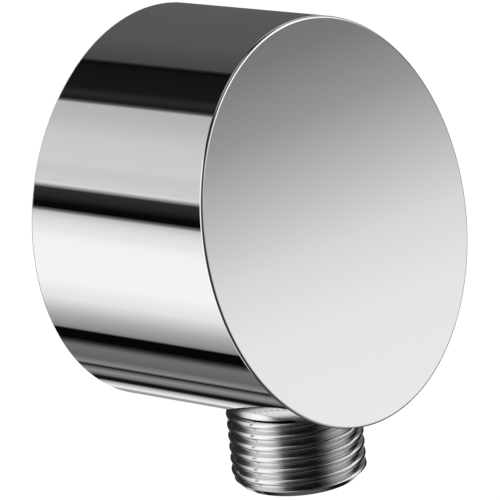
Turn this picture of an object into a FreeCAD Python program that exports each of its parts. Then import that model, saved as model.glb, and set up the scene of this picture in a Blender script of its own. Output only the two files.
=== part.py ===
import FreeCAD, Part
import math
import os

# Round wall outlet elbow for a shower hose, in millimetres
# Frame: origin on the drum's axis in the wall plane, +Z up, wall side +Y, face side -Y

# Drum and leaning face
drum_radius = 30.5
axis_depth = 34.7
face_lean = 10.4
side_wall = 3.0
face_wall = 4.0
front_bevel = 0.4
back_bevel = 0.3
inside_bevel = 2.0

# Sealing ring in the back rim
seal_land = 1.1
seal_width = 1.2
seal_depth = 1.6

# Clearances between pieces
fixed_gap = 0.05
slide_gap = 0.05
floor_gap = 0.5
seat_gap = 0.2
cut_reach = 1.0

# Wall nipple
inch_thread_radius = 10.4775
wall_thread_length = 14.0
thread_chamfer = 1.0
collar_radius = 12.0
collar_thickness = 2.0
collar_room = 0.5
spigot_radius = 9.0
supply_bore_radius = 6.0
key_across_flats = 12.0
key_depth = 8.0
lead_in = 0.8

# Seals of the spigot
ring_groove_width = 2.2
ring_groove_depth = 1.3
ring_width = 1.8
ring_land = 1.0
ring_corner_share = 0.3
screw_land = 1.2
tip_land = 1.2

# Inlet hub of the housing
hub_gap = 0.5
hub_wall = 4.0
screw_margin = 3.5
socket_chamfer = 1.0

# Grub screw and its boss
screw_radius = 2.5
screw_length = 12.0
screw_boss_wall = 2.4
screw_key_flats = 2.5
screw_key_depth = 2.5
screw_bevel = 0.4
point_flat = 0.4
vee_depth = 1.0
vee_gap = 0.1

# Waterway and outlet boss
water_radius = 6.5
outlet_offset = 22.0
outlet_wall = 2.6
elbow_shelf = 7.4

# Hose nipple
shank_step = 0.0775
nipple_projection = 11.8
neck_reach = 0.6
relief_width = 0.7
relief_depth = 0.3
hose_thread_chamfer = 1.2
cartridge_bore_radius = 7.6
throat_length = 5.5
shank_ring_inset = 2.6

# Non-return valve
case_gap = 0.1
case_seat_height = 3.2
case_seat_radius = 4.4
case_bore_radius = 6.3
case_length = 15.45
case_ring_depth = 1.2
case_ring_groove = 2.0
case_ring_width = 1.6
poppet_radius = 5.4
poppet_thickness = 1.2
poppet_nose_radius = 3.0
poppet_tip_radius = 1.2
poppet_nose_height = 1.9
poppet_seal_thickness = 0.8
stem_radius = 1.4
stem_end_margin = 0.2
guide_height = 2.4
guide_hub_radius = 2.8
guide_ring_wall = 0.9
guide_arm_width = 1.4
guide_arms = 3
spring_radius = 2.2
spring_wire = 0.5
spring_turns = 5.5

# Places that follow from the sizes
hub_end = collar_thickness + hub_gap
screw_place = hub_end + screw_margin
rear_ring_place = screw_place + vee_depth + screw_land + ring_groove_width / 2
front_ring_place = rear_ring_place + ring_groove_width + ring_land
spigot_tip = front_ring_place + ring_groove_width / 2 + tip_land
socket_floor = spigot_tip + floor_gap
socket_radius = spigot_radius + fixed_gap
hub_radius = socket_radius + hub_wall
lean = math.radians(face_lean)
deepest = axis_depth + drum_radius * math.tan(lean)
nipple_top = -(socket_radius + elbow_shelf)
nipple_end = -(drum_radius + nipple_projection)
neck_end = -(drum_radius - neck_reach)
shank_radius = inch_thread_radius - shank_step
nipple_hole_radius = shank_radius + fixed_gap
outlet_radius = nipple_hole_radius + outlet_wall
case_top = nipple_top - throat_length - fixed_gap
case_end = case_top - case_length
case_radius = cartridge_bore_radius - case_gap
seat_face = case_top - case_seat_height
seal_top = seat_face - seat_gap
disc_top = seal_top - poppet_seal_thickness
disc_end = disc_top - poppet_thickness
guide_top = case_end + guide_height
spring_top = disc_end - fixed_gap
spring_foot = guide_top + fixed_gap
shank_ring_place = nipple_top - shank_ring_inset
shank_floor = shank_radius - ring_groove_depth

X = FreeCAD.Vector(1, 0, 0)
Y = FreeCAD.Vector(0, 1, 0)
Z = FreeCAD.Vector(0, 0, 1)
ORIGIN = FreeCAD.Vector(0, 0, 0)


def turned(profile):
    """A solid turned about Z from (radius, height) points in order."""
    points = [FreeCAD.Vector(r, 0, h) for r, h in profile]
    face = Part.Face(Part.makePolygon(points + points[:1]))
    return face.revolve(ORIGIN, Z, 360)


def along_y(shape):
    """Lays a solid turned about Z on the drum's axis: height becomes the distance from the wall."""
    shape.rotate(ORIGIN, X, 90)
    return shape


def at_outlet(shape):
    """Moves a solid turned about Z to the outlet's axis."""
    shape.translate(FreeCAD.Vector(0, -outlet_offset, 0))
    return shape


def ring(inner, outer, low, high):
    """A plain ring about Z."""
    return turned([(inner, low), (outer, low), (outer, high), (inner, high)])


def hexagon(flats, low, high):
    """A hexagonal prism about Z."""
    corner = flats / math.sqrt(3)
    points = []
    for k in range(7):
        turn = k * math.pi / 3
        points.append(FreeCAD.Vector(corner * math.cos(turn), corner * math.sin(turn), low))
    return Part.Face(Part.makePolygon(points)).extrude(FreeCAD.Vector(0, 0, high - low))


def ahead_of_face(inset):
    """Everything ahead of the leaning face, or of a plane that lies the inset behind it."""
    size = 4 * (drum_radius + axis_depth)
    block = Part.makeBox(size, size, size, FreeCAD.Vector(-size / 2, -size, -size / 2))
    block.rotate(ORIGIN, X, -face_lean)
    block.translate(FreeCAD.Vector(0, -axis_depth + inset / math.cos(lean), 0))
    return block


def drum_solid(radius, inset, start=0.0):
    """A round drum from the wall plane to the leaning face."""
    drum = Part.makeCylinder(radius, 2 * deepest, FreeCAD.Vector(0, -start, 0), -Y)
    return drum.cut(ahead_of_face(inset))


def leaning_edges(shape):
    """The closed edges round the leaning face."""
    found = []
    for edge in shape.Edges:
        box = edge.BoundBox
        if box.YLength > drum_radius * math.sin(lean) and box.XLength > drum_radius:
            found.append(edge)
    return found


def housing():
    """The one-piece casting: drum, inlet hub, elbow, outlet boss and screw boss."""
    outer = drum_solid(drum_radius, 0.0)
    outer = outer.makeChamfer(front_bevel, leaning_edges(outer))
    back_edge = [e for e in outer.Edges if e.BoundBox.YLength < 0.01 and abs(e.BoundBox.YMax) < 0.01]
    outer = outer.makeChamfer(back_bevel, back_edge)
    cavity = drum_solid(drum_radius - side_wall, face_wall)
    cavity = cavity.makeChamfer(inside_bevel, leaning_edges(cavity))
    hub = Part.makeCylinder(hub_radius, deepest, FreeCAD.Vector(0, -hub_end, 0), -Y)
    outlet = Part.makeCylinder(outlet_radius, drum_radius, FreeCAD.Vector(0, -outlet_offset, 0), -Z)
    boss_radius = screw_radius + fixed_gap + screw_boss_wall
    boss = Part.makeCylinder(boss_radius, drum_radius, FreeCAD.Vector(0, -screw_place, 0), -Z)
    inside = hub.fuse([outlet, boss]).common(cavity)
    body = outer.cut(cavity).fuse(inside)
    mouth = socket_radius + socket_chamfer
    room = collar_radius + collar_room
    socket = along_y(turned([
        (0, -collar_thickness), (room, -collar_thickness), (room, hub_end), (mouth, hub_end),
        (socket_radius, hub_end + socket_chamfer), (socket_radius, socket_floor), (0, socket_floor)]))
    way_start = socket_floor - fixed_gap
    way_in = Part.makeCylinder(water_radius, outlet_offset - way_start, FreeCAD.Vector(0, -way_start, 0), -Y)
    bend = Part.makeSphere(water_radius, FreeCAD.Vector(0, -outlet_offset, 0))
    way_down = Part.makeCylinder(water_radius, -nipple_top, FreeCAD.Vector(0, -outlet_offset, 0), -Z)
    hole_top = nipple_top + fixed_gap
    hole_start = FreeCAD.Vector(0, -outlet_offset, hole_top)
    nipple_hole = Part.makeCylinder(nipple_hole_radius, drum_radius, hole_start, -Z)
    screw_start = FreeCAD.Vector(0, -screw_place, 0)
    screw_hole = Part.makeCylinder(screw_radius + fixed_gap, drum_radius + cut_reach, screw_start, -Z)
    outer_lip = drum_radius - seal_land
    groove = along_y(ring(outer_lip - seal_width, outer_lip, -cut_reach, seal_depth))
    waterway = way_in.fuse([bend, way_down])
    body = body.cut([socket, waterway, nipple_hole, screw_hole, groove])
    return body.removeSplitter()


def rim_seal():
    """The ring that fills the groove of the back rim, flush with the wall plane."""
    outer = drum_radius - seal_land - fixed_gap
    inner = drum_radius - seal_land - seal_width + fixed_gap
    return along_y(ring(inner, outer, 0.0, seal_depth - fixed_gap))


def wall_nipple():
    """The turned nipple that screws into the wall and carries the housing on its spigot."""
    root = inch_thread_radius - thread_chamfer
    floor = spigot_radius - ring_groove_depth
    half = ring_groove_width / 2
    profile = [(supply_bore_radius, -wall_thread_length), (root, -wall_thread_length),
               (inch_thread_radius, -wall_thread_length + thread_chamfer), (inch_thread_radius, 0),
               (collar_radius, 0), (collar_radius, collar_thickness), (spigot_radius, collar_thickness),
               (spigot_radius, screw_place - vee_depth), (spigot_radius - vee_depth, screw_place),
               (spigot_radius, screw_place + vee_depth)]
    for place in (rear_ring_place, front_ring_place):
        profile += [(spigot_radius, place - half), (floor, place - half)]
        profile += [(floor, place + half), (spigot_radius, place + half)]
    profile += [(spigot_radius, spigot_tip - lead_in), (spigot_radius - lead_in, spigot_tip)]
    profile += [(supply_bore_radius, spigot_tip)]
    body = turned(profile)
    body = body.cut(hexagon(key_across_flats, spigot_tip - key_depth, spigot_tip + lead_in))
    return along_y(body)


def round_seal(inner, outer, width, place):
    """A rubber ring, squeezed between a groove's floor and a wall, about Z."""
    corner = (outer - inner) * ring_corner_share
    low = place - width / 2
    high = place + width / 2
    return turned([
        (inner, low + corner), (inner + corner, low), (outer - corner, low), (outer, low + corner),
        (outer, high - corner), (outer - corner, high), (inner + corner, high), (inner, high - corner)])


def spigot_ring(place):
    """A seal in one of the spigot's grooves."""
    return along_y(round_seal(spigot_radius - ring_groove_depth, socket_radius, ring_width, place))


def grub_screw():
    """The cone-point screw that locks the housing to the spigot, its key socket downwards."""
    tip = spigot_radius - vee_depth + vee_gap + point_flat
    start = tip + screw_radius - point_flat
    end = tip + screw_length
    screw = turned([
        (0, -tip), (point_flat, -tip), (screw_radius, -start), (screw_radius, -end + screw_bevel),
        (screw_radius - screw_bevel, -end), (0, -end)])
    screw = screw.cut(hexagon(screw_key_flats, -end - screw_bevel, -end + screw_key_depth))
    screw.translate(FreeCAD.Vector(0, -screw_place, 0))
    return screw


def hose_nipple():
    """The turned outlet: shank in the housing, plain neck, male hose thread and valve bore."""
    half = ring_groove_width / 2
    shoulder = nipple_top - throat_length
    relief_middle = neck_end - relief_width / 2
    thread_start = neck_end - relief_width
    profile = [
        (water_radius, nipple_top), (shank_radius - lead_in, nipple_top),
        (shank_radius, nipple_top - lead_in), (shank_radius, shank_ring_place + half),
        (shank_floor, shank_ring_place + half), (shank_floor, shank_ring_place - half),
        (shank_radius, shank_ring_place - half), (shank_radius, neck_end),
        (shank_radius - relief_depth, relief_middle), (inch_thread_radius, thread_start),
        (inch_thread_radius, nipple_end + hose_thread_chamfer),
        (inch_thread_radius - hose_thread_chamfer, nipple_end), (cartridge_bore_radius, nipple_end),
        (cartridge_bore_radius, shoulder), (water_radius, shoulder)]
    return at_outlet(turned(profile))


def shank_ring():
    """The seal between the hose nipple's shank and the housing."""
    return at_outlet(round_seal(shank_floor, nipple_hole_radius, ring_width, shank_ring_place))


def valve_case():
    """The valve's moulded case, with its seat at the top."""
    place = case_top - case_seat_height / 2
    half = case_ring_groove / 2
    floor = case_radius - case_ring_depth
    case = turned([
        (case_seat_radius, case_top), (case_radius, case_top), (case_radius, place + half),
        (floor, place + half), (floor, place - half), (case_radius, place - half),
        (case_radius, case_end), (case_bore_radius, case_end), (case_bore_radius, seat_face),
        (case_seat_radius, seat_face)])
    return at_outlet(case)


def case_ring():
    """The seal round the valve's case."""
    place = case_top - case_seat_height / 2
    return at_outlet(round_seal(case_radius - case_ring_depth, cartridge_bore_radius, case_ring_width, place))


def valve_guide():
    """The guide at the foot of the case: outer ring, arms and a hub for the stem."""
    outer = case_bore_radius - fixed_gap
    hole = stem_radius + slide_gap
    hub = ring(hole, guide_hub_radius, case_end, guide_top)
    parts = [ring(outer - guide_ring_wall, outer, case_end, guide_top)]
    arm_start = (hole + guide_hub_radius) / 2
    length = outer - guide_ring_wall / 2 - arm_start
    corner = FreeCAD.Vector(arm_start, -guide_arm_width / 2, case_end)
    for k in range(guide_arms):
        arm = Part.makeBox(length, guide_arm_width, guide_height, corner)
        arm.rotate(ORIGIN, Z, 90 + k * 360.0 / guide_arms)
        parts.append(arm)
    guide = hub.fuse(parts)
    return at_outlet(guide.removeSplitter())


def valve_poppet():
    """The poppet: nose, disc and stem."""
    nose_top = disc_top + poppet_nose_height
    stem_end = case_end + stem_end_margin
    poppet = turned([
        (0, nose_top), (poppet_tip_radius, nose_top), (poppet_nose_radius, seal_top),
        (poppet_nose_radius, disc_top), (poppet_radius, disc_top), (poppet_radius, disc_end),
        (stem_radius, disc_end), (stem_radius, stem_end), (0, stem_end)])
    return at_outlet(poppet)


def poppet_seal():
    """The flat seal on the poppet's disc."""
    return at_outlet(ring(poppet_nose_radius + fixed_gap, poppet_radius, disc_top + fixed_gap / 2, seal_top))


def valve_spring():
    """The closing spring between the guide's hub and the poppet's disc."""
    half = spring_wire / 2
    height = spring_top - spring_foot - spring_wire
    path = Part.makeHelix(height / spring_turns, height, spring_radius)
    corners = []
    for k in range(7):
        turn = k * math.pi / 3
        corners.append(FreeCAD.Vector(spring_radius + half * math.cos(turn), 0, half * math.sin(turn)))
    section = Part.makePolygon(corners)
    coil = Part.Wire(path).makePipeShell([section], True, True)
    coil.translate(FreeCAD.Vector(0, 0, spring_foot + half))
    return at_outlet(coil)


pieces = {
    "housing": housing(),
    "rim_seal": rim_seal(),
    "wall_nipple": wall_nipple(),
    "spigot_ring_rear": spigot_ring(rear_ring_place),
    "spigot_ring_front": spigot_ring(front_ring_place),
    "grub_screw": grub_screw(),
    "hose_nipple": hose_nipple(),
    "shank_ring": shank_ring(),
    "valve_case": valve_case(),
    "case_ring": case_ring(),
    "valve_guide": valve_guide(),
    "valve_poppet": valve_poppet(),
    "poppet_seal": poppet_seal(),
    "valve_spring": valve_spring(),
}

os.makedirs("parts", exist_ok=True)
for name, shape in pieces.items():
    shape.exportStep("parts/" + name + ".step")
    box = shape.BoundBox
    print(name, shape.ShapeType, len(shape.Solids), shape.isValid(), round(shape.Volume, 1),
          [round(v, 2) for v in (box.XMin, box.XMax, box.YMin, box.YMax, box.ZMin, box.ZMax)])
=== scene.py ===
import bpy
import math
from mathutils import Matrix, Vector


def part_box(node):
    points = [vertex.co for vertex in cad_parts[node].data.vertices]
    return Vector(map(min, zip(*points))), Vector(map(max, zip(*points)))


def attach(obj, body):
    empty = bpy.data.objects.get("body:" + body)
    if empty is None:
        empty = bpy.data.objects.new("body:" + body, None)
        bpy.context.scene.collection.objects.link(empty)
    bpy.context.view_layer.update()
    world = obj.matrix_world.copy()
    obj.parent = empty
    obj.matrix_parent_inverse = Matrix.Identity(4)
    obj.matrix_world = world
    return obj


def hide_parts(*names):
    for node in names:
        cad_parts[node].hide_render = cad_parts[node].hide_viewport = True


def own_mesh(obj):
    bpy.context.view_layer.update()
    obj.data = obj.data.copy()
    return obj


# Wall outlet elbow on its CAD frame: origin in the wall plane on the drum's axis, wall side +Y, +Z up, metres
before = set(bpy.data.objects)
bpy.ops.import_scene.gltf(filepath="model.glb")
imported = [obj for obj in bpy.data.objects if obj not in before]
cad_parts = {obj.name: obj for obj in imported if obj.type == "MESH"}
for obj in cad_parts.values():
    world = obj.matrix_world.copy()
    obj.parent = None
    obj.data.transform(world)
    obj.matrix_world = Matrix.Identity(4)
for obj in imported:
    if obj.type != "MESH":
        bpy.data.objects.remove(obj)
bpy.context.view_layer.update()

MM = 0.001

# Points nearer than this are one point; play for a point that lies on a plane; play of a flat cut. All in metres
SAME_POINT = 1e-7
ON_PLANE = 1e-6
CUT_PLAY = 1e-8

# Sides of the round shapes
DRUM_SIDES = 256
TURNED_SIDES = 128
BORE_SIDES = 96
BOSS_SIDES = 64
SCREW_SIDES = 48
WIRE_SIDES = 16
HEXAGON = 6

# How far stock and cutters run: past the object, past any bore, past the faces that they meet, and into each other
REACH = 60
PAST_BORE = 40
OVERRUN = 2
SHORT_OVERRUN = 1
OVERLAP = 0.05

# Drum and leaning face
DRUM_RADIUS = 30.5
AXIS_DEPTH = 34.7
FACE_LEAN = math.radians(10.4)
SIDE_WALL = 3.0
FACE_WALL = 4.0
FRONT_ROUND = 0.4
BACK_BEVEL = 0.3
INSIDE_ROUND = 2.0
FRONT_STEPS, BACK_STEPS, INSIDE_STEPS = 6, 3, 8
CORE_START = 5.0

# Inside forms of the casting
HUB_START = 2.5
HUB_RADIUS = 13.05
SOCKET_RADIUS = 9.05
SOCKET_FLOOR = 15.3
SOCKET_LEAD_IN = 1
COLLAR_ROOM_RADIUS = 12.5
OUTLET_OFFSET = 22.0
OUTLET_RADIUS = 13.05
NIPPLE_HOLE_RADIUS = 10.45
NIPPLE_HOLE_TOP = -16.4
NIPPLE_HOLE_CUT = 30
WATER_RADIUS = 6.5
SCREW_PLACE = 6.0
SCREW_BOSS_RADIUS = 4.95
SCREW_HOLE_RADIUS = 2.55
SEAL_INNER = 28.2
SEAL_OUTER = 29.4
SEAL_DEPTH = 1.6

# Threads: pitch, outer radius, depth, rounding at the root and at the crest, and the flanks' turn in degrees
PITCH = 1.814
THREAD_RADIUS = 10.4775
PIPE_THREAD = (PITCH, THREAD_RADIUS, 1.1616, 0.249, 0.249, 62.5)
HOSE_THREAD = (PITCH, THREAD_RADIUS, 0.985, 0.1, 0.55, 62.5)
SCREW_THREAD = (0.8, 2.5, 0.4895, 0.1, 0.1, 60.0)
THREAD_STEPS = 5
SCREW_STEPS = 2
CREST_PLAY = 0.1

# Hose nipple. Its thread's run-out starts below the thread's start, goes in and ends above it, by HOSE_RUNOUT
NIPPLE_TOP = -16.45
NIPPLE_END = -42.3
SHANK_RADIUS = 10.4
NECK_END = -29.7
THREAD_START = -30.2
RELIEF_DEPTH = 0.35
RELIEF_RADIUS = 9.5
STOCK_RADIUS = 9.0
HOSE_ROOT_HEIGHT = -31.32
HOSE_RUNOUT = (0.3, 0.35, 0.15)
END_CHAMFER = 1.2
TURNED_CHAMFER = 0.8
CARTRIDGE_RADIUS = 7.6
SHOULDER = -21.95

# Wall nipple
WALL_THREAD_LENGTH = 14.0
WALL_ROOT_HEIGHT = -5.0
WALL_CHAMFER = 1.0
WALL_RELIEF = 0.6
WALL_RELIEF_RADIUS = 9.2
WALL_RUNOUT = 1.2
WALL_RUNOUT_END = 0.5
WALL_RUNOUT_RADIUS = 9.6
COLLAR_RADIUS = 12.0
COLLAR_THICKNESS = 2.0
SPIGOT_RADIUS = 9.0
SPIGOT_TIP = 14.8
KEY_RADIUS = 6.9282
KEY_DEPTH = 8.0
SUPPLY_RADIUS = 6.0
CONE_GROOVE = 1

# Rubber rings: places on the spigot and on the shank, and their grooves' depth and half width
SPIGOT_RINGS = (9.3, 12.5)
SHANK_RING = -19.05
RING_GROOVE_DEPTH = 1.3
RING_GROOVE_HALF = 1.1

# Set screw, with its chamfer, cone point and key socket
SCREW_LOW = -20.5
SCREW_HIGH = -8.5
SCREW_END_RADIUS = 2.1
SCREW_CLEAR_RADIUS = 2.6
SCREW_CHAMFER = 0.5
CONE_LENGTH = 2.2
CONE_TIP_RADIUS = 0.4
SCREW_KEY_RADIUS = 1.4434
SCREW_KEY_DEPTH = 2.5
SCREW_KEY_CUT = 4

# Closing spring: its coil radius, wire radius, turns and steps per turn
SPRING_RADIUS = 2.2
SPRING_WIRE = 0.25
SPRING_TURNS = 5.5
SPRING_STEPS = 48

# Radius inside every bore, for stock that is bored later
CORE = 4.0

# Edges sharper than these angles in degrees stay sharp: machined edges, and the ends of the spring's wire
SHARP_ANGLE = 32
WIRE_ANGLE = 60

# Chrome's reflectance, how far the hollow's finish reaches into the side wall, and the part of a noise that is used
CHROME = 0.9
HOLLOW_PLAY = 0.3
NOISE_LOW, NOISE_HIGH = 0.3, 0.7


def clear_selection():
    if bpy.context.object and bpy.context.object.mode != "OBJECT":
        bpy.ops.object.mode_set(mode="OBJECT")
    bpy.ops.object.select_all(action="DESELECT")


def point(x, y, z):
    return Vector((x * MM, y * MM, z * MM))


def settle(piece):
    """Puts the finished piece's place into its mesh."""
    clear_selection()
    piece.select_set(True)
    bpy.context.view_layer.objects.active = piece
    bpy.ops.object.transform_apply(location=True, rotation=True, scale=True)
    return piece


def modify(piece, kind, **settings):
    """Adds one modifier and applies it."""
    clear_selection()
    piece.select_set(True)
    bpy.context.view_layer.objects.active = piece
    modifier = piece.modifiers.new(kind.title(), kind)
    for key, value in settings.items():
        setattr(modifier, key, value)
    bpy.ops.object.modifier_apply(modifier=modifier.name)


def join_shapes(piece, other, how):
    """Adds, cuts or meets another closed shape, which is used up."""
    modify(piece, "BOOLEAN", operation=how, solver="EXACT", object=other)
    bpy.data.objects.remove(other, do_unlink=True)


def edit_all():
    """Edit mode with every point selected."""
    bpy.ops.object.mode_set(mode="EDIT")
    bpy.ops.mesh.select_mode(type="VERT")
    bpy.ops.mesh.select_all(action="SELECT")


def outward(piece):
    """Merges doubles and turns all faces outwards."""
    bpy.ops.object.mode_set(mode="OBJECT")
    edit_all()
    bpy.ops.mesh.remove_doubles(threshold=SAME_POINT)
    bpy.ops.mesh.normals_make_consistent(inside=False)
    bpy.ops.object.mode_set(mode="OBJECT")


def lathe(name, centre, profile, sides, along="Z", closed=True):
    """Turns a profile of (radius, height) points: a circle is extruded and resized step by step."""
    clear_selection()
    axis = Vector((0, 0, 1)) if along == "Z" else Vector((0, -1, 0))
    turn = (0, 0, 0) if along == "Z" else (math.pi / 2, 0, 0)
    radius, height = profile[0]
    fill = "NOTHING" if closed else "NGON"
    bpy.ops.mesh.primitive_circle_add(vertices=sides, radius=radius * MM, fill_type=fill,
                                      location=centre + axis * height * MM, rotation=turn)
    piece = bpy.context.object
    piece.name = name
    settle(piece)
    edit_all()
    steps = profile[1:] + profile[:1] if closed else profile[1:]
    for next_radius, next_height in steps:
        shift = axis * (next_height - height) * MM
        bpy.ops.mesh.extrude_region_move(TRANSFORM_OT_translate={"value": shift})
        grow = next_radius / radius
        across = (grow, grow, 1) if along == "Z" else (grow, 1, grow)
        bpy.ops.transform.resize(value=across, center_override=centre + axis * next_height * MM)
        radius, height = next_radius, next_height
    outward(piece)
    return piece


def round_bar(name, start, radius, length, sides, along):
    """A plain bar, used as a cutter or as stock."""
    clear_selection()
    turns = {"Z": (0, 0, 0), "Y": (math.pi / 2, 0, 0)}
    middle = start + {"Z": Vector((0, 0, -1)), "Y": Vector((0, -1, 0))}[along] * length * MM / 2
    bpy.ops.mesh.primitive_cylinder_add(vertices=sides, radius=radius * MM, depth=length * MM,
                                        location=middle, rotation=turns[along])
    piece = bpy.context.object
    piece.name = name
    return settle(piece)


def select_edges(piece, wanted):
    """Selects the edges whose two ends pass the test."""
    bpy.ops.object.mode_set(mode="EDIT")
    bpy.ops.mesh.select_mode(type="EDGE")
    bpy.ops.mesh.select_all(action="DESELECT")
    bpy.ops.object.mode_set(mode="OBJECT")
    mesh = piece.data
    for edge in mesh.edges:
        ends = [mesh.vertices[v].co for v in edge.vertices]
        edge.select = wanted(ends)
    bpy.ops.object.mode_set(mode="EDIT")


def face_plane(inset):
    """A point and the normal of the leaning face, or of a plane the inset behind it."""
    normal = Vector((0, -math.cos(FACE_LEAN), math.sin(FACE_LEAN)))
    return point(0, -AXIS_DEPTH, 0) - normal * inset * MM, normal


def drum_stock(name, radius, start, inset, rounding, segments):
    """A drum from the back to the leaning plane, with its front edge rounded."""
    piece = round_bar(name, point(0, start, 0), radius, REACH + start, DRUM_SIDES, "Y")
    on_plane, normal = face_plane(inset)
    edit_all()
    bpy.ops.mesh.bisect(plane_co=on_plane, plane_no=normal, use_fill=True, clear_outer=True, threshold=SAME_POINT)
    bpy.ops.object.mode_set(mode="OBJECT")
    select_edges(piece, lambda ends: all(abs((e - on_plane).dot(normal)) < ON_PLANE for e in ends))
    bpy.ops.mesh.bevel(offset=rounding * MM, segments=segments, profile=0.5, affect="EDGES", clamp_overlap=False)
    bpy.ops.object.mode_set(mode="OBJECT")
    return piece


def make_casting():
    """The one-piece casting: drum shell, inlet hub, elbow, outlet boss and screw boss."""
    body = drum_stock("casting", DRUM_RADIUS, 0.0, 0.0, FRONT_ROUND, FRONT_STEPS)
    select_edges(body, lambda ends: all(abs(e.y) < SAME_POINT for e in ends))
    bpy.ops.mesh.bevel(offset=BACK_BEVEL * MM, segments=BACK_STEPS, profile=0.5, affect="EDGES", clamp_overlap=False)
    bpy.ops.object.mode_set(mode="OBJECT")

    core = drum_stock("core", DRUM_RADIUS - SIDE_WALL, CORE_START, FACE_WALL, INSIDE_ROUND, INSIDE_STEPS)
    hub_start = point(0, -HUB_START, 0)
    outlet_top = point(0, -OUTLET_OFFSET, 0)
    screw_start = point(0, -SCREW_PLACE, 0)
    join_shapes(core, round_bar("hub", hub_start, HUB_RADIUS, REACH, TURNED_SIDES, "Y"), "DIFFERENCE")
    join_shapes(core, round_bar("outlet", outlet_top, OUTLET_RADIUS, PAST_BORE, TURNED_SIDES, "Z"), "DIFFERENCE")
    join_shapes(core, round_bar("boss", screw_start, SCREW_BOSS_RADIUS, PAST_BORE, BOSS_SIDES, "Z"), "DIFFERENCE")
    join_shapes(body, core, "DIFFERENCE")

    socket = lathe("socket", point(0, 0, 0), [
        (COLLAR_ROOM_RADIUS, -OVERRUN), (COLLAR_ROOM_RADIUS, HUB_START), (SOCKET_RADIUS + SOCKET_LEAD_IN, HUB_START),
        (SOCKET_RADIUS, HUB_START + SOCKET_LEAD_IN), (SOCKET_RADIUS, SOCKET_FLOOR)], TURNED_SIDES, "Y", closed=False)
    join_shapes(body, socket, "DIFFERENCE")

    way_start = point(0, -SOCKET_FLOOR + OVERLAP, 0)
    way = round_bar("way", way_start, WATER_RADIUS, OUTLET_OFFSET - SOCKET_FLOOR + OVERLAP, BOSS_SIDES, "Y")
    clear_selection()
    bpy.ops.mesh.primitive_uv_sphere_add(segments=BOSS_SIDES, ring_count=BOSS_SIDES // 2, radius=WATER_RADIUS * MM,
                                         location=outlet_top)
    bend = settle(bpy.context.object)
    join_shapes(way, bend, "UNION")
    join_shapes(way, round_bar("down", outlet_top, WATER_RADIUS, -NIPPLE_TOP, BOSS_SIDES, "Z"), "UNION")
    join_shapes(body, way, "DIFFERENCE")

    hole_start = point(0, -OUTLET_OFFSET, NIPPLE_HOLE_TOP)
    hole = round_bar("hole", hole_start, NIPPLE_HOLE_RADIUS, NIPPLE_HOLE_CUT, TURNED_SIDES, "Z")
    join_shapes(body, hole, "DIFFERENCE")
    join_shapes(body, round_bar("screw", screw_start, SCREW_HOLE_RADIUS, PAST_BORE, SCREW_SIDES, "Z"), "DIFFERENCE")
    groove = lathe("groove", point(0, 0, 0), [
        (SEAL_INNER, -SHORT_OVERRUN), (SEAL_OUTER, -SHORT_OVERRUN), (SEAL_OUTER, SEAL_DEPTH),
        (SEAL_INNER, SEAL_DEPTH)], DRUM_SIDES, "Y")
    join_shapes(body, groove, "DIFFERENCE")
    return body


def finish_shading(piece, angle):
    """Smooth faces, sharp machined edges, and normals that follow the large faces."""
    clear_selection()
    piece.select_set(True)
    bpy.context.view_layer.objects.active = piece
    bpy.ops.object.shade_smooth_by_angle(angle=math.radians(angle))
    modify(piece, "WEIGHTED_NORMAL", mode="FACE_AREA", weight=50, keep_sharp=True)


def thread_profile(pitch, radius, depth, hollow, crown, flank, steps):
    """One pitch of a rounded thread, from root to root, as (radius, height)."""
    top = radius - crown
    foot = radius - depth + hollow
    turn = math.radians(flank)
    wall = (depth - (hollow + crown) * (1 - math.cos(turn))) / math.tan(turn)
    crest = min((hollow + crown) * math.sin(turn) + wall, pitch / 2 - 0.001)
    rise = []
    for k in range(steps + 1):
        a = turn * k / steps
        rise.append((foot - hollow * math.cos(a), hollow * math.sin(a)))
    for k in range(steps + 1):
        a = turn * (k / steps - 1)
        rise.append((top + crown * math.cos(a), crest + crown * math.sin(a)))
    return rise + [(r, pitch - h) for r, h in reversed(rise)]


def threaded_rod(name, thread, root_height, low, high, sides, steps):
    """A right-handed threaded rod about Z: one pitch of the profile, screwed round and cut off flat."""
    clear_selection()
    bpy.ops.mesh.primitive_plane_add(size=MM)
    piece = bpy.context.object
    piece.name = name
    pitch = thread[0]
    rows = thread_profile(*thread, steps)
    turns = math.ceil((high - low) / pitch) + 3
    base = root_height - (math.ceil((root_height - low) / pitch) + 1) * pitch
    edit_all()
    bpy.ops.mesh.merge(type="CENTER")
    bpy.ops.transform.translate(value=point(rows[0][0], 0, base + rows[0][1]))
    for (r0, h0), (r1, h1) in zip(rows, rows[1:]):
        bpy.ops.mesh.extrude_region_move(TRANSFORM_OT_translate={"value": point(r1 - r0, 0, h1 - h0)})
    bpy.ops.object.mode_set(mode="OBJECT")
    modify(piece, "SCREW", axis="Z", angle=2 * math.pi, screw_offset=pitch * MM, iterations=turns, steps=sides,
           render_steps=sides, use_merge_vertices=True, merge_threshold=SAME_POINT)
    edit_all()
    for height, way in ((low, -1), (high, 1)):
        bpy.ops.mesh.select_all(action="SELECT")
        bpy.ops.mesh.remove_doubles(threshold=ON_PLANE)
        bpy.ops.mesh.bisect(plane_co=(0, 0, height * MM), plane_no=(0, 0, way), use_fill=True, clear_outer=True,
                            threshold=CUT_PLAY)
    outward(piece)
    return piece


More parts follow.
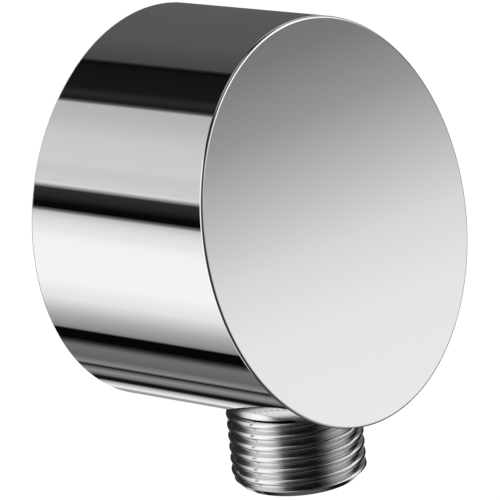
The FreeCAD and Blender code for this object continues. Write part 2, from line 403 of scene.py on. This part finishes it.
def make_hose_nipple():
    """The outlet nipple: shank, neck, relief and a cut pipe thread, with its stepped bore."""
    axis = point(0, -OUTLET_OFFSET, 0)
    groove_floor = SHANK_RADIUS - RING_GROOVE_DEPTH
    groove_top, groove_foot = SHANK_RING + RING_GROOVE_HALF, SHANK_RING - RING_GROOVE_HALF
    stock = lathe("hose_outlet", axis, [
        (CORE, THREAD_START - OVERRUN), (CORE, NIPPLE_TOP), (SHANK_RADIUS - TURNED_CHAMFER, NIPPLE_TOP),
        (SHANK_RADIUS, NIPPLE_TOP - TURNED_CHAMFER), (SHANK_RADIUS, groove_top), (groove_floor, groove_top),
        (groove_floor, groove_foot), (SHANK_RADIUS, groove_foot), (SHANK_RADIUS, NECK_END),
        (SHANK_RADIUS - RELIEF_DEPTH, (NECK_END + THREAD_START) / 2), (RELIEF_RADIUS, THREAD_START),
        (STOCK_RADIUS, THREAD_START - OVERRUN)], TURNED_SIDES)
    rod = threaded_rod("rod", HOSE_THREAD, HOSE_ROOT_HEIGHT + PITCH / 4, NIPPLE_END, THREAD_START, BORE_SIDES,
                       THREAD_STEPS)
    rod.location = axis
    settle(rod)
    tip = THREAD_RADIUS - END_CHAMFER
    clear = THREAD_RADIUS + CREST_PLAY
    below, inwards, above = HOSE_RUNOUT
    envelope = lathe("envelope", axis, [
        (CORE, NIPPLE_END - SHORT_OVERRUN), (tip, NIPPLE_END - SHORT_OVERRUN), (tip, NIPPLE_END),
        (clear, NIPPLE_END + END_CHAMFER + CREST_PLAY), (clear, THREAD_START - below),
        (THREAD_RADIUS - inwards, THREAD_START + above), (CORE, THREAD_START + above)], TURNED_SIDES)
    join_shapes(rod, envelope, "INTERSECT")
    join_shapes(stock, rod, "UNION")
    bore = lathe("bore", axis, [
        (WATER_RADIUS, NIPPLE_TOP + OVERRUN), (WATER_RADIUS, SHOULDER), (CARTRIDGE_RADIUS, SHOULDER),
        (CARTRIDGE_RADIUS, NIPPLE_END - OVERRUN)], BORE_SIDES, closed=False)
    join_shapes(stock, bore, "DIFFERENCE")
    return stock


def make_wall_nipple():
    """The nipple that screws into the wall: cut thread, collar, spigot with two grooves and a key socket."""
    centre = point(0, 0, 0)
    floor = SPIGOT_RADIUS - RING_GROOVE_DEPTH
    profile = [(CORE, -OVERRUN), (STOCK_RADIUS, -OVERRUN), (WALL_RELIEF_RADIUS, -WALL_RELIEF), (WALL_RELIEF_RADIUS, 0),
               (COLLAR_RADIUS, 0), (COLLAR_RADIUS, COLLAR_THICKNESS), (SPIGOT_RADIUS, COLLAR_THICKNESS),
               (SPIGOT_RADIUS, SCREW_PLACE - CONE_GROOVE), (SPIGOT_RADIUS - CONE_GROOVE, SCREW_PLACE),
               (SPIGOT_RADIUS, SCREW_PLACE + CONE_GROOVE)]
    for place in SPIGOT_RINGS:
        near, far = place - RING_GROOVE_HALF, place + RING_GROOVE_HALF
        profile += [(SPIGOT_RADIUS, near), (floor, near), (floor, far), (SPIGOT_RADIUS, far)]
    profile += [(SPIGOT_RADIUS, SPIGOT_TIP - TURNED_CHAMFER), (SPIGOT_RADIUS - TURNED_CHAMFER, SPIGOT_TIP),
                (CORE, SPIGOT_TIP)]
    stock = lathe("wall_screw", centre, profile, TURNED_SIDES, "Y")
    rod = threaded_rod("rod", PIPE_THREAD, WALL_ROOT_HEIGHT, -WALL_THREAD_LENGTH, -WALL_RELIEF, BORE_SIDES,
                       THREAD_STEPS)
    end = THREAD_RADIUS - WALL_CHAMFER
    clear = THREAD_RADIUS + CREST_PLAY
    envelope = lathe("envelope", centre, [
        (CORE, -WALL_THREAD_LENGTH - SHORT_OVERRUN), (end, -WALL_THREAD_LENGTH - SHORT_OVERRUN),
        (end, -WALL_THREAD_LENGTH), (clear, -WALL_THREAD_LENGTH + WALL_CHAMFER + CREST_PLAY), (clear, -WALL_RUNOUT),
        (WALL_RUNOUT_RADIUS, -WALL_RUNOUT_END), (CORE, -WALL_RUNOUT_END)], TURNED_SIDES)
    join_shapes(rod, envelope, "INTERSECT")
    rod.rotation_euler = (math.pi / 2, 0, 0)
    settle(rod)
    join_shapes(stock, rod, "UNION")
    bore_start = point(0, WALL_THREAD_LENGTH + SHORT_OVERRUN, 0)
    join_shapes(stock, round_bar("bore", bore_start, SUPPLY_RADIUS, PAST_BORE, BORE_SIDES, "Y"), "DIFFERENCE")
    key_start = point(0, -SPIGOT_TIP + KEY_DEPTH, 0)
    key = round_bar("key", key_start, KEY_RADIUS, KEY_DEPTH + SHORT_OVERRUN, HEXAGON, "Y")
    join_shapes(stock, key, "DIFFERENCE")
    return stock


def make_set_screw():
    """The cone-point set screw that locks the casting to the spigot."""
    axis = point(0, -SCREW_PLACE, 0)
    rod = threaded_rod("set_screw", SCREW_THREAD, SCREW_LOW, SCREW_LOW, SCREW_HIGH, SCREW_SIDES, SCREW_STEPS)
    rod.location = axis
    settle(rod)
    envelope = lathe("envelope", axis, [
        (SCREW_END_RADIUS, SCREW_LOW - SHORT_OVERRUN), (SCREW_END_RADIUS, SCREW_LOW),
        (SCREW_CLEAR_RADIUS, SCREW_LOW + SCREW_CHAMFER), (SCREW_CLEAR_RADIUS, SCREW_HIGH - CONE_LENGTH),
        (CONE_TIP_RADIUS, SCREW_HIGH), (CONE_TIP_RADIUS, SCREW_HIGH + SHORT_OVERRUN)], SCREW_SIDES, closed=False)
    join_shapes(rod, envelope, "INTERSECT")
    key_start = point(0, -SCREW_PLACE, SCREW_LOW + SCREW_KEY_DEPTH)
    key = round_bar("key", key_start, SCREW_KEY_RADIUS, SCREW_KEY_CUT, HEXAGON, "Z")
    join_shapes(rod, key, "DIFFERENCE")
    return rod


def make_valve_spring():
    """The closing spring: a round wire screwed round the stem between the guide and the disc."""
    low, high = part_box("valve_spring")
    foot, top = low[2] / MM + SPRING_WIRE, high[2] / MM - SPRING_WIRE
    clear_selection()
    bpy.ops.mesh.primitive_circle_add(vertices=WIRE_SIDES, radius=SPRING_WIRE * MM, fill_type="NOTHING",
                                      location=point(SPRING_RADIUS, 0, foot), rotation=(math.pi / 2, 0, 0))
    piece = bpy.context.object
    piece.name = "closing_spring"
    settle(piece)
    steps = int(SPRING_STEPS * SPRING_TURNS)
    modify(piece, "SCREW", axis="Z", angle=2 * math.pi * SPRING_TURNS, screw_offset=(top - foot) * MM, iterations=1,
           steps=steps, render_steps=steps)
    edit_all()
    bpy.ops.mesh.fill_holes(sides=0)
    outward(piece)
    piece.location = point(0, -OUTLET_OFFSET, 0)
    return settle(piece)


def effect(name, inputs, outputs):
    """An empty node group with named inputs and outputs."""
    group = bpy.data.node_groups.new(name, "ShaderNodeTree")
    for label, kind, value in inputs:
        socket = group.interface.new_socket(label, in_out="INPUT", socket_type=kind)
        if value is not None:
            socket.default_value = value
    for label, kind in outputs:
        group.interface.new_socket(label, in_out="OUTPUT", socket_type=kind)
    return group, group.nodes.new("NodeGroupInput"), group.nodes.new("NodeGroupOutput")


def add(tree, kind, **settings):
    """Adds a shader node and sets its properties."""
    node = tree.nodes.new("ShaderNode" + kind)
    for key, value in settings.items():
        setattr(node, key, value)
    return node


def feed(tree, sockets, values):
    """Gives each input its number, or a link from another node's output."""
    for socket, value in zip(sockets, values):
        if isinstance(value, (int, float)):
            socket.default_value = value
        else:
            tree.links.new(value, socket)


def reckon(tree, kind, *values):
    """One step of arithmetic."""
    node = add(tree, "Math", operation=kind)
    feed(tree, node.inputs, values)
    return node.outputs[0]


def blend_values(tree, share, a, b):
    """From a to b by the share."""
    node = add(tree, "Mix", data_type="FLOAT")
    feed(tree, (node.inputs[0], node.inputs[2], node.inputs[3]), (share, a, b))
    return node.outputs[0]


def build_turning():
    """Fine rings left by the tool along an axis: a height and a shade."""
    group, given, result = effect("turning_rings", [
        ("Position", "NodeSocketVector", None), ("Axis", "NodeSocketVector", (0, 0, 1)),
        ("Rings per metre", "NodeSocketFloat", 6000.0), ("Runout", "NodeSocketFloat", 0.3)],
        [("Height", "NodeSocketFloat"), ("Shade", "NodeSocketFloat")])
    link = group.links.new
    along = add(group, "VectorMath", operation="DOT_PRODUCT")
    link(given.outputs["Position"], along.inputs[0])
    link(given.outputs["Axis"], along.inputs[1])
    waver = add(group, "TexNoise")
    waver.inputs["Scale"].default_value = 260
    waver.inputs["Detail"].default_value = 2
    link(given.outputs["Position"], waver.inputs["Vector"])
    count = add(group, "Math", operation="MULTIPLY")
    link(along.outputs["Value"], count.inputs[0])
    link(given.outputs["Rings per metre"], count.inputs[1])
    shift = add(group, "Math", operation="MULTIPLY_ADD")
    link(waver.outputs["Fac"], shift.inputs[0])
    link(given.outputs["Runout"], shift.inputs[1])
    link(count.outputs[0], shift.inputs[2])
    rings = add(group, "TexNoise", noise_dimensions="1D")
    rings.inputs["Scale"].default_value = 1.0
    rings.inputs["Detail"].default_value = 3
    link(shift.outputs[0], rings.inputs["W"])
    link(rings.outputs["Fac"], result.inputs["Height"])
    link(rings.outputs["Fac"], result.inputs["Shade"])
    return group


def build_grain():
    """Even grain of a moulded, cast or plated skin: a height and a slow mottle."""
    group, given, result = effect("skin_grain", [
        ("Position", "NodeSocketVector", None), ("Grain", "NodeSocketFloat", 2500.0),
        ("Mottle size", "NodeSocketFloat", 150.0)],
        [("Height", "NodeSocketFloat"), ("Mottle", "NodeSocketFloat")])
    link = group.links.new
    fine = add(group, "TexNoise")
    fine.inputs["Detail"].default_value = 2
    link(given.outputs["Position"], fine.inputs["Vector"])
    link(given.outputs["Grain"], fine.inputs["Scale"])
    slow = add(group, "TexNoise")
    slow.inputs["Detail"].default_value = 3
    link(given.outputs["Position"], slow.inputs["Vector"])
    link(given.outputs["Mottle size"], slow.inputs["Scale"])
    link(fine.outputs["Fac"], result.inputs["Height"])
    link(slow.outputs["Fac"], result.inputs["Mottle"])
    return group


TURNING = build_turning()
GRAIN = build_grain()


class Finish:
    """One material under construction: its shader, its object position and a few shorthand links."""

    def __init__(self, name, color, metallic=0.0):
        self.material = bpy.data.materials.new(name)
        self.material.use_nodes = True
        self.tree = self.material.node_tree
        self.shader = self.tree.nodes["Principled BSDF"]
        self.shader.inputs["Base Color"].default_value = (*color, 1)
        self.shader.inputs["Metallic"].default_value = metallic
        self.position = add(self.tree, "TexCoord").outputs["Object"]

    def link(self, a, b):
        self.tree.links.new(a, b)

    def effect(self, group, **values):
        """Puts in a node group, with the object position and the named values."""
        node = add(self.tree, "Group")
        node.node_tree = group
        self.link(self.position, node.inputs["Position"])
        for label, value in values.items():
            node.inputs[label.replace("_", " ")].default_value = value
        return node

    def spread(self, value, low, high):
        """Spreads a noise from the low to the high value."""
        node = add(self.tree, "MapRange")
        for label, number in (("From Min", NOISE_LOW), ("From Max", NOISE_HIGH), ("To Min", low), ("To Max", high)):
            node.inputs[label].default_value = number
        self.link(value, node.inputs["Value"])
        return node.outputs["Result"]

    def gloss(self, value, low, high):
        self.link(self.spread(value, low, high), self.shader.inputs["Roughness"])

    def tint(self, value, dark, light):
        node = add(self.tree, "Mix", data_type="RGBA")
        node.inputs[6].default_value = (*dark, 1)
        node.inputs[7].default_value = (*light, 1)
        self.link(self.spread(value, 0, 1), node.inputs[0])
        self.link(node.outputs[2], self.shader.inputs["Base Color"])

    def maths(self, kind, a, b):
        return reckon(self.tree, kind, a, b)

    def mix(self, share, a, b):
        return blend_values(self.tree, share, a, b)

    def color(self, share, plain, grey):
        """A plain colour, or by the share a grey that changes over the surface."""
        node = add(self.tree, "Mix", data_type="RGBA")
        self.link(share, node.inputs[0])
        node.inputs[6].default_value = (*plain, 1)
        self.link(grey, node.inputs[7])
        self.link(node.outputs[2], self.shader.inputs["Base Color"])

    def hollow(self):
        """1 in the drum's hollow, 0 on its outside: inside the side wall and behind the leaning face."""
        split = add(self.tree, "SeparateXYZ")
        self.link(self.position, split.inputs[0])
        x, y, z = split.outputs
        across = self.maths("ADD", self.maths("MULTIPLY", x, x), self.maths("MULTIPLY", z, z))
        within = self.maths("LESS_THAN", across, ((DRUM_RADIUS - SIDE_WALL + HOLLOW_PLAY) * MM) ** 2)
        ahead = self.maths("SUBTRACT", self.maths("MULTIPLY", z, math.sin(FACE_LEAN)),
                           self.maths("MULTIPLY", y, math.cos(FACE_LEAN)))
        behind = self.maths("LESS_THAN", ahead, (AXIS_DEPTH * math.cos(FACE_LEAN) - FACE_WALL / 2) * MM)
        return self.maths("MULTIPLY", within, behind)

    def relief(self, height, depth):
        node = add(self.tree, "Bump")
        node.inputs["Distance"].default_value = depth
        node.inputs["Strength"].default_value = 1.0
        self.link(height, node.inputs["Height"])
        self.link(node.outputs["Normal"], self.shader.inputs["Normal"])


def polished_chrome():
    """Mirror-bright plate outside; inside the hollow a thinner, duller plate on the cast skin."""
    finish = Finish("chrome_polished", (CHROME, CHROME, CHROME), 1.0)
    plate = finish.effect(GRAIN, Grain=900.0, Mottle_size=90.0)
    skin = finish.effect(GRAIN, Grain=2200.0, Mottle_size=260.0)
    hollow = finish.hollow()
    finish.color(hollow, (CHROME, CHROME, CHROME), finish.spread(skin.outputs["Mottle"], 0.5, 0.62))
    bright = finish.spread(plate.outputs["Mottle"], 0.0, 0.012)
    satin = finish.spread(skin.outputs["Mottle"], 0.22, 0.34)
    finish.link(finish.mix(hollow, bright, satin), finish.shader.inputs["Roughness"])
    finish.relief(finish.maths("MULTIPLY", hollow, skin.outputs["Height"]), 0.00003)
    return finish.material


def cut_chrome():
    """Plate over a turned thread: rings from the tool, a little darker and softer than the casting."""
    finish = Finish("chrome_turned", (0.76, 0.76, 0.76), 1.0)
    rings = finish.effect(TURNING, Axis=(0, 0, 1))
    finish.tint(rings.outputs["Shade"], (0.69, 0.69, 0.695), (0.83, 0.83, 0.83))
    finish.gloss(rings.outputs["Shade"], 0.1, 0.04)
    finish.relief(rings.outputs["Height"], 0.000006)
    return finish.material


def turned_brass():
    """Plain turned brass with a warm, slightly uneven tone."""
    finish = Finish("brass_plain", (0.72, 0.55, 0.28), 1.0)
    rings = finish.effect(TURNING, Axis=(0, 1, 0), Rings_per_metre=5000.0)
    grain = finish.effect(GRAIN, Grain=1500.0, Mottle_size=200.0)
    finish.tint(grain.outputs["Mottle"], (0.60, 0.43, 0.20), (0.78, 0.61, 0.33))
    finish.gloss(rings.outputs["Shade"], 0.32, 0.2)
    finish.relief(rings.outputs["Height"], 0.00001)
    return finish.material


def grained(name, color, metallic, grain, mottle, tones, gloss, depth):
    """One tone, slightly uneven: grain and mottle per metre, two tones, two roughnesses and the grain's depth."""
    finish = Finish(name, color, metallic)
    skin = finish.effect(GRAIN, Grain=grain, Mottle_size=mottle)
    finish.tint(skin.outputs["Mottle"], *tones)
    finish.gloss(skin.outputs["Mottle"], *gloss)
    finish.relief(skin.outputs["Height"], depth)
    return finish.material


def dark_steel():
    tones = ((0.24, 0.24, 0.25), (0.4, 0.4, 0.41))
    return grained("steel_dark", (0.33, 0.33, 0.34), 1.0, 3000.0, 600.0, tones, (0.3, 0.45), 0.000006)


def spring_steel():
    tones = ((0.52, 0.52, 0.53), (0.7, 0.7, 0.71))
    return grained("steel_spring", (0.62, 0.62, 0.63), 1.0, 4000.0, 900.0, tones, (0.2, 0.32), 0.000004)


def black_rubber():
    tones = ((0.018, 0.018, 0.018), (0.045, 0.045, 0.046))
    return grained("rubber_black", (0.03, 0.03, 0.03), 0.0, 5000.0, 400.0, tones, (0.55, 0.75), 0.00001)


def moulded(name, color, dark):
    return grained(name, color, 0.0, 6000.0, 300.0, (dark, color), (0.34, 0.46), 0.000006)


def dress(piece, node, material):
    """Gives a new piece its finish and its body, and hides the CAD node that it stands for."""
    piece.data.materials.clear()
    piece.data.materials.append(material)
    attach(piece, "body")
    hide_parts(node)


casting = make_casting()
finish_shading(casting, SHARP_ANGLE)
dress(casting, "housing", polished_chrome())

hose_outlet = make_hose_nipple()
finish_shading(hose_outlet, SHARP_ANGLE)
dress(hose_outlet, "hose_nipple", cut_chrome())

wall_screw = make_wall_nipple()
finish_shading(wall_screw, SHARP_ANGLE)
dress(wall_screw, "wall_nipple", turned_brass())

set_screw = make_set_screw()
finish_shading(set_screw, SHARP_ANGLE)
dress(set_screw, "grub_screw", dark_steel())

closing_spring = make_valve_spring()
finish_shading(closing_spring, WIRE_ANGLE)
dress(closing_spring, "valve_spring", spring_steel())
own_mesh(closing_spring)

rubber = black_rubber()
acetal = moulded("valve_white", (0.84, 0.84, 0.80), (0.74, 0.74, 0.69))
finishes = {
    "rim_seal": rubber, "spigot_ring_rear": rubber, "spigot_ring_front": rubber, "shank_ring": rubber,
    "case_ring": rubber, "poppet_seal": rubber, "valve_case": acetal, "valve_guide": acetal,
    "valve_poppet": moulded("valve_grey", (0.45, 0.47, 0.50), (0.37, 0.39, 0.42)),
}
for name, material in finishes.items():
    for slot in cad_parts[name].material_slots:
        slot.material = material


# The drum's side mirrors only directions whose y is between these two, seen from the camera
RING_FROM, RING_TO = 0.585, 0.672

# What the world shows to the camera, and to rays that aren't glossy
WHITE = 1.0
EVEN_LIGHT = 0.7


def surroundings():
    """White for the camera; for gloss a studio of bright panels and dark flags; even light for the rest."""
    world = bpy.data.worlds.new("studio")
    bpy.context.scene.world = world
    world.use_nodes = True
    tree = world.node_tree
    tree.nodes.clear()
    new, link = tree.nodes.new, tree.links.new

    def maths(kind, *values):
        return reckon(tree, kind, *values)

    def ramp(value, stops):
        node = new("ShaderNodeValToRGB")
        node.color_ramp.interpolation = "LINEAR"
        marks = node.color_ramp.elements
        for k, (at, grey) in enumerate(stops):
            mark = marks[k] if k < 2 else marks.new(at)
            mark.position = at
            mark.color = (grey, grey, grey, 1)
        link(value, node.inputs["Fac"])
        return node.outputs["Color"]

    def blend(share, a, b):
        return blend_values(tree, share, a, b)

    place = new("ShaderNodeTexCoord")
    split = new("ShaderNodeSeparateXYZ")
    link(place.outputs["Generated"], split.inputs[0])
    x, y, z = split.outputs

    def level(grey):
        """The brightness that chrome shows as this grey on the screen."""
        return round(((grey / 255 + 0.055) / 1.055) ** 2.4 / CHROME, 3)

    # Round the drum's axis, in degrees from +X over the top: (turn, grey on the screen)
    turn = maths("ARCTAN2", z, x)
    turn = maths("DIVIDE", turn, 2 * math.pi)
    turn = maths("FRACT", maths("ADD", turn, 1.0))
    upper = [(0, 88), (58, 84), (71, 75), (78, 70), (79, 6), (80, 8), (82, 18), (99, 23), (101, 34), (103, 42),
             (105, 30), (108, 30), (109.5, 178), (118, 184), (130, 200), (145, 204), (150, 199), (158, 205),
             (160, 225), (160.5, 47), (166, 37), (170, 10), (174, 5), (175.5, 190), (179, 216), (182, 224)]
    lower = [(182, 224), (186, 231), (190, 240), (196, 243), (216, 243), (224, 231), (228, 226), (234, 198), (240, 168),
             (246, 147), (249, 130), (249.2, 5), (258, 5), (260, 50), (264, 110), (274, 98), (280, 135), (282, 2),
             (283, 2), (285, 95), (289, 140), (294, 100), (296, 18), (302, 18), (304, 156), (311, 223), (316, 230),
             (317, 150), (338, 150), (340, 88)]
    over = ramp(turn, [(a / 360, level(g)) for a, g in upper])
    under = ramp(turn, [(a / 360, level(g)) for a, g in lower])
    ring = blend(maths("GREATER_THAN", turn, 182 / 360), over, under)

    # What the leaning face mirrors: (elevation in degrees, grey on the screen)
    rise = maths("MULTIPLY", maths("ARCSINE", z), 180 / math.pi)
    side = maths("MULTIPLY", maths("ARCTAN2", x, maths("MULTIPLY", y, -1.0)), 180 / math.pi)
    by_rise = maths("DIVIDE", maths("ADD", rise, 10.0), 20.0)
    shades = [(-10, 236), (-7, 236), (-4, 228), (-3, 215), (-2, 185), (-1, 150), (0, 122), (1, 108), (4, 80)]
    face = ramp(by_rise, [((e + 10) / 20, level(g)) for e, g in shades])

    # The room in front, level, above and below: (azimuth in degrees from the face side towards +X, brightness)
    by_side = maths("DIVIDE", maths("ADD", side, 180.0), 360.0)

    def round_room(stops, gain):
        return maths("MULTIPLY", ramp(by_side, [((a + 180) / 360, b / gain) for a, b in stops]), gain)

    walls = round_room([(-180, 0.03), (-165, 0.06), (-155, 0.2), (-143, 0.75), (-130, 1.15), (-112, 1.25), (-100, 1.1),
                        (-92, 0.75), (-85, 0.32), (-76, 0.12), (-60, 0.04), (-47, 0.025), (-21, 0.01), (-8, 0.03),
                        (2, 0.12), (12, 0.3), (25, 0.5), (42, 0.6), (54, 0.35), (64, 0.06), (76, 0.01), (110, 0.02),
                        (116, 0.9), (138, 0.9), (146, 0.03)], 1.25)
    upper = round_room([(-180, 0.05), (-170, 0.15), (-158, 0.6), (-145, 1.0), (-130, 1.2), (-108, 1.25), (-92, 1.1),
                        (-84, 0.55), (-76, 0.16), (-60, 0.07), (-47, 0.05), (-21, 0.02), (-8, 0.15), (6, 0.5),
                        (25, 1.05), (60, 1.25), (72, 1.1), (84, 0.4), (100, 0.1), (112, 0.2), (118, 0.9), (138, 0.9),
                        (146, 0.05)], 1.25)
    low = round_room([(-180, 0.01), (-165, 0.02), (-150, 0.25), (-130, 0.75), (-112, 0.85), (-95, 0.62), (-80, 0.1),
                      (-65, 0.02), (-47, 0.01), (-10, 0.01), (5, 0.06), (25, 0.28), (48, 0.33), (62, 0.08),
                      (75, 0.01)], 0.85)

    def slope(value, start, end):
        """0 at the start, 1 from the end on."""
        share = maths("DIVIDE", maths("SUBTRACT", value, start), end - start)
        return maths("MAXIMUM", maths("MINIMUM", share, 1.0), 0.0)

    # The room from the level walls to the lower and upper ones, then a dark ceiling with a paler middle and a floor
    front = blend(slope(rise, -26.0, -40.0), walls, low)
    front = blend(slope(rise, 4.0, 18.0), front, upper)
    front = blend(slope(rise, 42.0, 50.0), front, 0.02)
    front = blend(slope(rise, 68.0, 74.0), front, 0.35)
    front = blend(slope(rise, -55.0, -65.0), front, 0.1)
    facing = maths("LESS_THAN", maths("ABSOLUTE", maths("SUBTRACT", side, 47.0)), 8.0)
    level_view = maths("LESS_THAN", maths("ABSOLUTE", maths("ADD", rise, 2.0)), 6.0)
    front = blend(maths("MULTIPLY", facing, level_view), front, face)

    # Behind: a bright ceiling and floor, which light the hollow; between the two rooms the ring
    across = maths("MULTIPLY", maths("GREATER_THAN", y, RING_FROM), maths("LESS_THAN", y, RING_TO))
    rear = blend(slope(rise, -38.0, -50.0), blend(slope(rise, 22.0, 30.0), front, 1.0), 0.7)
    front = blend(maths("GREATER_THAN", y, RING_TO), front, rear)
    pattern = blend(across, front, ring)

    path = new("ShaderNodeLightPath")
    seen = blend(path.outputs["Is Glossy Ray"], EVEN_LIGHT, pattern)
    seen = blend(path.outputs["Is Camera Ray"], seen, WHITE)
    back = new("ShaderNodeBackground")
    link(seen, back.inputs["Color"])
    out = new("ShaderNodeOutputWorld")
    link(back.outputs[0], out.inputs["Surface"])


surroundings()

# The floor's width and height in metres, and the light that whitens it for the camera
FLOOR_WIDTH = 24
FLOOR_HEIGHT = -1.4
FLOOR_LIFT = 0.5


def pale_floor():
    """A plain pale floor far below the wall-mounted part; it is white to the camera apart from its shadow."""
    clear_selection()
    bpy.ops.mesh.primitive_plane_add(size=FLOOR_WIDTH, location=(0, 0, FLOOR_HEIGHT))
    floor = bpy.context.object
    floor.name = "pale_floor"
    finish = Finish("pale_floor", (0.8, 0.8, 0.8))
    grain = finish.effect(GRAIN, Grain=40.0, Mottle_size=2.0)
    finish.gloss(grain.outputs["Mottle"], 0.7, 0.8)
    path = add(finish.tree, "LightPath")
    lift = add(finish.tree, "Emission")
    lift.inputs["Color"].default_value = (1, 1, 1, 1)
    share = finish.maths("MULTIPLY", path.outputs["Is Camera Ray"], FLOOR_LIFT)
    finish.link(share, lift.inputs["Strength"])
    both = add(finish.tree, "AddShader")
    out = finish.tree.nodes["Material Output"]
    finish.link(finish.shader.outputs[0], both.inputs[0])
    finish.link(lift.outputs[0], both.inputs[1])
    finish.link(both.outputs[0], out.inputs["Surface"])
    floor.data.materials.append(finish.material)
    floor.visible_glossy = False


# Where the lamps look, in metres
OBJECT_MIDDLE = Vector((0, -0.017, -0.005))


def lamp(name, place, size, watts):
    """A square area lamp that looks at the object's middle and doesn't show in the chrome."""
    data = bpy.data.lights.new(name, "AREA")
    data.shape = "SQUARE"
    data.size = size
    data.energy = watts
    light = bpy.data.objects.new(name, data)
    bpy.context.scene.collection.objects.link(light)
    light.location = place
    aim = OBJECT_MIDDLE - Vector(place)
    light.rotation_euler = aim.to_track_quat("-Z", "Y").to_euler()
    light.visible_glossy = False


pale_floor()
lamp("key", (-0.7, -0.9, 0.9), 0.6, 4.0)
lamp("fill", (0.9, -0.7, 0.4), 0.8, 2.0)
lamp("rear", (0.2, 0.9, 0.9), 0.6, 2.0)

# The camera that was fitted to the photograph: its axes as rows of the world's x, y and z, and its place in metres
camera_data = bpy.data.cameras.new("view")
camera = bpy.data.objects.new("view", camera_data)
bpy.context.scene.collection.objects.link(camera)
camera_data.sensor_width = 36
camera_data.lens = 272.45
camera_data.clip_start = 0.01
right = Vector((0.62656795, -0.77347583, -0.09564382))
up = Vector((0.280416, 0.1092337, 0.95364295))
back = Vector((-0.72717224, -0.62434217, 0.28533733))
place = Vector((-0.420818, -0.377726, 0.158645))
camera.matrix_world = Matrix([[right[k], up[k], back[k], place[k]] for k in range(3)] + [[0, 0, 0, 1]])
bpy.context.scene.camera = camera
bpy.context.scene.view_settings.view_transform = "Standard"

bpy.context.view_layer.update()
